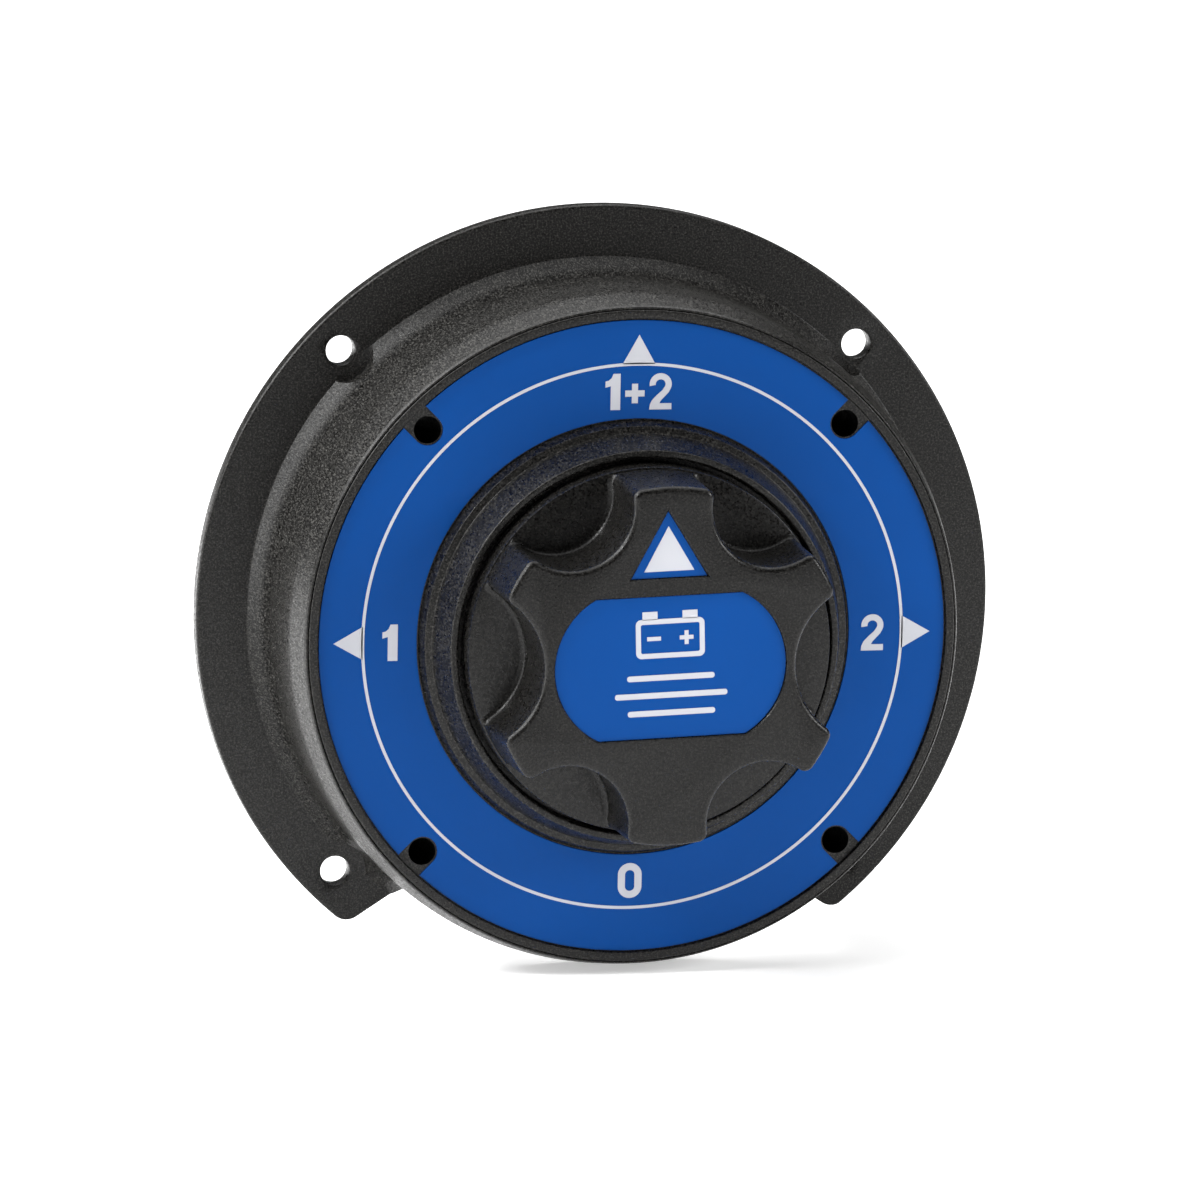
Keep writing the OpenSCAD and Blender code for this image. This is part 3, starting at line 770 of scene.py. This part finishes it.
def knob_labels():
    """The barrel label, the triangle above it and the white print on both."""
    low, high = BADGE_Z, BADGE_Z + LABEL_T
    badge = turned(prism("knob_label", badge_outline(), low, high), LABEL_TURN)
    place(badge, "knob", BLUE, ["knob_label"], limit=20)
    pointer = turned(prism("pointer_label", pointer_outline(), low, high), LABEL_TURN)
    place(pointer, "knob", BLUE, ["pointer_label"], limit=20)
    parts = [prism("print", pointer_outline(0, 15.2, 22.3, 4.0), high, high + PRINT_T)]
    parts += badge_print(high)
    marks = turned(join("knob_print", parts), LABEL_TURN)
    place(marks, "knob", WHITE, limit=20)


def badge_print(low):
    """A plain battery sign with a plus and a minus, over three plain rules."""
    high = low + PRINT_T
    sign_y, sign_x, half_length, half_width = 4.6, 2.6, 1.1, 0.32
    case = [(x, y + sign_y) for x, y in stadium(11.0, 6.2, 0.9)]
    inside = [(x, y + sign_y) for x, y in stadium(9.4, 4.6, 0.3)]
    parts = [hollow_prism("print", case, inside, low, high)]
    for x in (-3.2, 3.2):
        parts.append(prism("print", rectangle(x, sign_y + 3.65, 2.4, 1.3), low, high))
    minus = rectangle(-sign_x, sign_y, 2 * half_length, 2 * half_width)
    parts.append(prism("print", minus, low, high))
    parts.append(prism("print", cross(sign_x, sign_y, half_length, half_width), low, high))
    for y, width in ((-1.6, 14), (-4.4, 18), (-7.2, 14)):
        rule = [(px, py + y) for px, py in stadium(width, 0.9, 0.4, 6)]
        parts.append(prism("print", rule, low, high))
    return parts


# ---------------------------------------------------------------- terminals behind

NUT_TOP_Z = 11.5
LOCK_TOP_Z = 13.2


def threaded_stud(name, angle):
    """A stud with a real helical thread and a chamfered end."""
    pitch, depth, steps, step_z = 1.5, 0.75, 48, 0.125
    low, high = 1.5, 19.6
    cx, cy = polar(STUD_CIRCLE, angle)
    rings = []
    count = int((high - low) / step_z)
    for i in range(count + 1):
        z = low + (high - low) * i / count
        ring = []
        for k in range(steps):
            phase = (z / pitch - k / steps) % 1.0
            flank = abs(2 * phase - 1)
            groove = depth * max(0.0, min(1.0, 1.25 * flank - 0.125))
            limit = STUD_R - 1.1 + (z - low)
            r = min(STUD_R - 0.02 - groove, limit)
            a = TURN * k / steps
            ring.append((cx + r * math.cos(a), cy + r * math.sin(a), z))
        rings.append(ring)
    place(build(name, rings), "root", STEEL, [name])


def nut_at(centre):
    """A hexagon nut with chamfered corners and a countersunk thread."""
    half_flats, low, high, steps = 8.0, 5.5, NUT_TOP_Z, 96
    face_r = half_flats * 0.985
    slope = 0.6

    def hexagon(lift):
        ring = []
        for k in range(steps):
            a = TURN * k / steps
            r = half_flats / math.cos((a + math.pi / 6) % (math.pi / 3) - math.pi / 6)
            ring.append((centre[0] + r * math.cos(a), centre[1] + r * math.sin(a), lift(r)))
        return ring

    def circle(r, z):
        return [(centre[0] + r * math.cos(TURN * k / steps),
                 centre[1] + r * math.sin(TURN * k / steps), z) for k in range(steps)]

    rings = [circle(STUD_R + 0.02, low + slope), circle(STUD_R + slope, low), circle(face_r, low),
             hexagon(lambda r: low + (r - face_r) * slope),
             hexagon(lambda r: high - (r - face_r) * slope),
             circle(face_r, high), circle(STUD_R + slope, high),
             circle(STUD_R + 0.02, high - slope)]
    return build("nut", rings, closed=True)


def washer_section(inner, outer, low, high):
    """A washer's rectangular section with its corners eased."""
    ease = 0.15
    corners = [(inner, low, ease), (outer, low, ease), (outer, high, ease), (inner, high, ease)]
    return rounded(corners, 2)


def washer_at(centre):
    """A flat washer between the split washer and the terminal plate."""
    section = washer_section(STUD_R + 0.05, 9, LOCK_TOP_Z, PLATE_Z)
    return lathe("washer", section, centre, 64)


def split_washer_at(centre):
    """A spring washer: one turn of square wire with a narrow gap."""
    section = washer_section(STUD_R + 0.1, 8.2, NUT_TOP_Z, LOCK_TOP_Z)
    steps, gap = 60, 7
    rings = []
    for k in range(steps + 1):
        a = math.radians(gap + (360 - 2 * gap) * k / steps)
        rings.append([(centre[0] + r * math.cos(a), centre[1] + r * math.sin(a), z)
                      for r, z in section])
    return build("washer", rings)


def terminals():
    """Three studs, each with its nut, split washer and flat washer."""
    centres = [polar(STUD_CIRCLE, a) for a in STUD_ANGLES]
    for name, angle in zip(("stud_battery_1", "stud_battery_2", "stud_common"), STUD_ANGLES):
        threaded_stud(name, angle)
    nuts = join("terminal_nuts_piece", [nut_at(c) for c in centres])
    place(nuts, "root", STEEL, ["terminal_nuts"], limit=25)
    locks = join("lock_washers_piece", [split_washer_at(c) for c in centres])
    place(locks, "root", STEEL, ["terminal_lock_washers"])
    flats = join("flat_washers_piece", [washer_at(c) for c in centres])
    place(flats, "root", STEEL, ["terminal_flat_washers"])


def pan_screw_at(centre, head_r, head_h, head_z, shank_r, tip_z):
    """A pan head screw seen from behind, with a cross recess."""
    crown = head_z - head_h
    profile = [(head_r * 0.45, crown), (head_r * 0.72, crown + head_h * 0.1),
               (head_r * 0.92, crown + head_h * 0.35), (head_r, crown + head_h * 0.65),
               (head_r, head_z), (shank_r, head_z), (shank_r, tip_z)]
    screw = spindle("screw", profile, centre)
    cuts = []
    for wide, tall in ((head_r * 1.1, head_r * 0.26), (head_r * 0.26, head_r * 1.1)):
        slot = rectangle(*centre, wide, tall)
        cuts.append(prism("cutter", slot, crown - 1, crown + head_h * 0.5))
    carve(screw, [cuts[0]])
    return carve(screw, [cuts[1]])


def screws():
    """Six screws in the terminal plate and four in the housing's ears."""
    cover = [pan_screw_at(polar(COVER_SCREW_CIRCLE, a), 2.9, 2.0, PLATE_Z, 1.48, 26)
             for a in range(0, 360, 60)]
    place(join("cover_screws_piece", cover), "root", STEEL, ["cover_screws"])
    ears = [pan_screw_at(polar(EAR_CIRCLE, a), 2.2, 1.8, LEDGE_Z, 1.28, 30.9)
            for a in QUARTERS]
    place(join("housing_screws_piece", ears), "root", STEEL, ["housing_screws"])


# ---------------------------------------------------------------- springs

def coil(name, mean_r, wire_r, low, high, turns, seat):
    """A round-wire spring along its own axis. seat takes its points into dial space."""
    sides, turn_steps = 12, 24
    steps = turns * turn_steps
    rise = (high - low - 2 * wire_r) / steps
    rings = []
    for i in range(steps + 1):
        a = TURN * i / turn_steps
        ring = []
        for k in range(sides):
            lean = TURN * k / sides
            spoke = mean_r + wire_r * math.cos(lean)
            along = low + wire_r + rise * i + wire_r * math.sin(lean)
            ring.append(seat(spoke * math.cos(a), spoke * math.sin(a), along))
        rings.append(ring)
    return build(name, rings)


def springs():
    """The three contact springs and the two detent springs."""
    coils = []
    for angle in (50, 90, 130):
        x, y = polar(SPRING_CIRCLE, angle)
        coils.append(coil("coil", 2.6, 0.45, BRIDGE_TOP_Z, ROTOR_Z, 3,
                          lambda u, v, w, x=x, y=y: (x + u, y + v, w)))
    pressed = ("contact_bridge", "knob", row(0, 0, BRIDGE_TOP_Z), row(0, 0, ROTOR_Z))
    place(join("contact_springs_piece", coils), pressed, STEEL, ["contact_springs"])
    for name, side in (("left", -1), ("right", 1)):
        spring = coil(f"detent_spring_{name}_piece", 1.35, 0.3, PLUNGER_BACK, GUIDE_END, 5,
                      lambda u, v, w, side=side: (side * w, u, PLUNGER_Z + v))
        pressed = (f"detent_plunger_{name}", "root", row(side * PLUNGER_BACK, 0, PLUNGER_Z),
                   row(side * GUIDE_END, 0, PLUNGER_Z))
        place(spring, pressed, STEEL, [f"detent_spring_{name}"])


# ---------------------------------------------------------------- carried-over CAD nodes

def dress(names, material, ease=0.0):
    """Gives CAD nodes a material, and eased edges where ease is a width in millimetres."""
    for name in names:
        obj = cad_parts[name]
        obj.data.materials.clear()
        obj.data.materials.append(material)
        if ease:
            ease_edges(obj, ease)


def carried_over_nodes():
    """Materials for the pieces whose CAD mesh is also their visible one."""
    dress(["terminal_plate"], COVER_BLACK, 0.4)
    dress(["cover_gasket", "shaft_seal"], RUBBER)
    dress(["contact_battery_1", "contact_battery_2", "contact_common", "contact_bridge"], COPPER,
          0.2)
    dress(["shaft_bush", "rotor"], NYLON, 0.2)
    dress(["detent_plunger_left", "detent_plunger_right", "knob_screw", "knob_screw_washer",
           "drive_shaft", "retaining_ring"], STEEL)


# ---------------------------------------------------------------- stage

def camera():
    """A long lens, 12.5 degrees to the left of the switch's axis and 10 degrees above it."""
    data = bpy.data.cameras.new("camera")
    data.lens = 218.67
    data.sensor_width = 36
    obj = bpy.data.objects.new("camera", data)
    right = Vector((0.97663, -0.21423, 0.01711))
    up = Vector((0.02023, 0.17088, 0.98509))
    back = Vector((-0.21396, -0.96172, 0.17122))
    turn = Matrix((right, up, back)).transposed().to_4x4()
    obj.matrix_world = Matrix.Translation((-0.25386, -1.14739, 0.20479)) @ turn
    bpy.context.scene.collection.objects.link(obj)
    bpy.context.scene.camera = obj


def area_light(name, place_at, size, power, aim=(0, -0.02, 0)):
    """A soft rectangular lamp, pointed at the switch unless aim says otherwise."""
    data = bpy.data.lights.new(name, "AREA")
    data.shape = "RECTANGLE"
    data.size, data.size_y = size
    data.energy = power
    obj = bpy.data.objects.new(name, data)
    obj.location = place_at
    obj.rotation_euler = (Vector(aim) - Vector(place_at)).to_track_quat("-Z", "Y").to_euler()
    bpy.context.scene.collection.objects.link(obj)


def stage():
    """A white floor just under the switch, a faint white sky and five lamps."""
    floor_z = cad_box[0][2] - 0.0003
    corners = [(x, y, floor_z) for x, y in rectangle(0, 0, 12, 12)]
    data = bpy.data.meshes.new("floor")
    data.from_pydata(corners, [], [(0, 1, 2, 3)])
    floor = bpy.data.objects.new("floor", data)
    bpy.context.scene.collection.objects.link(floor)
    recipe = Recipe("floor_white", (0.9, 0.9, 0.9), 0.9)
    recipe.tint(recipe.noise(3, 2), (0.88, 0.88, 0.88), (0.92, 0.92, 0.92))
    recipe.shader.inputs["Specular IOR Level"].default_value = 0.1
    recipe.shader.inputs["Emission Color"].default_value = (1, 1, 1, 1)
    recipe.shader.inputs["Emission Strength"].default_value = 0.45
    data.materials.append(recipe.material)
    world = bpy.data.worlds.new("world")
    world.use_nodes = True
    world.node_tree.nodes["Background"].inputs["Color"].default_value = (1, 1, 1, 1)
    world.node_tree.nodes["Background"].inputs["Strength"].default_value = 0.05
    bpy.context.scene.world = world
    area_light("key", (-0.85, 0.25, 0.75), (0.8, 0.8), 17)
    area_light("edge", (-0.9, -0.3, 0.7), (0.2, 0.2), 6.5)
    area_light("side", (-1.0, -0.05, 0.15), (0.25, 0.5), 4)
    area_light("overhead", (0.0, 0.9, 2.4), (3.5, 3.5), 95, (0, 0.6, 0))
    area_light("right_fill", (0.95, -0.5, 0.45), (0.4, 0.4), 8.5)
    bpy.context.scene.view_settings.view_transform = "Standard"


camera()
stage()
mounting_housing()
face_body()
dial_label()
dial_print()
knob()
knob_labels()
terminals()
screws()
springs()
carried_over_nodes()
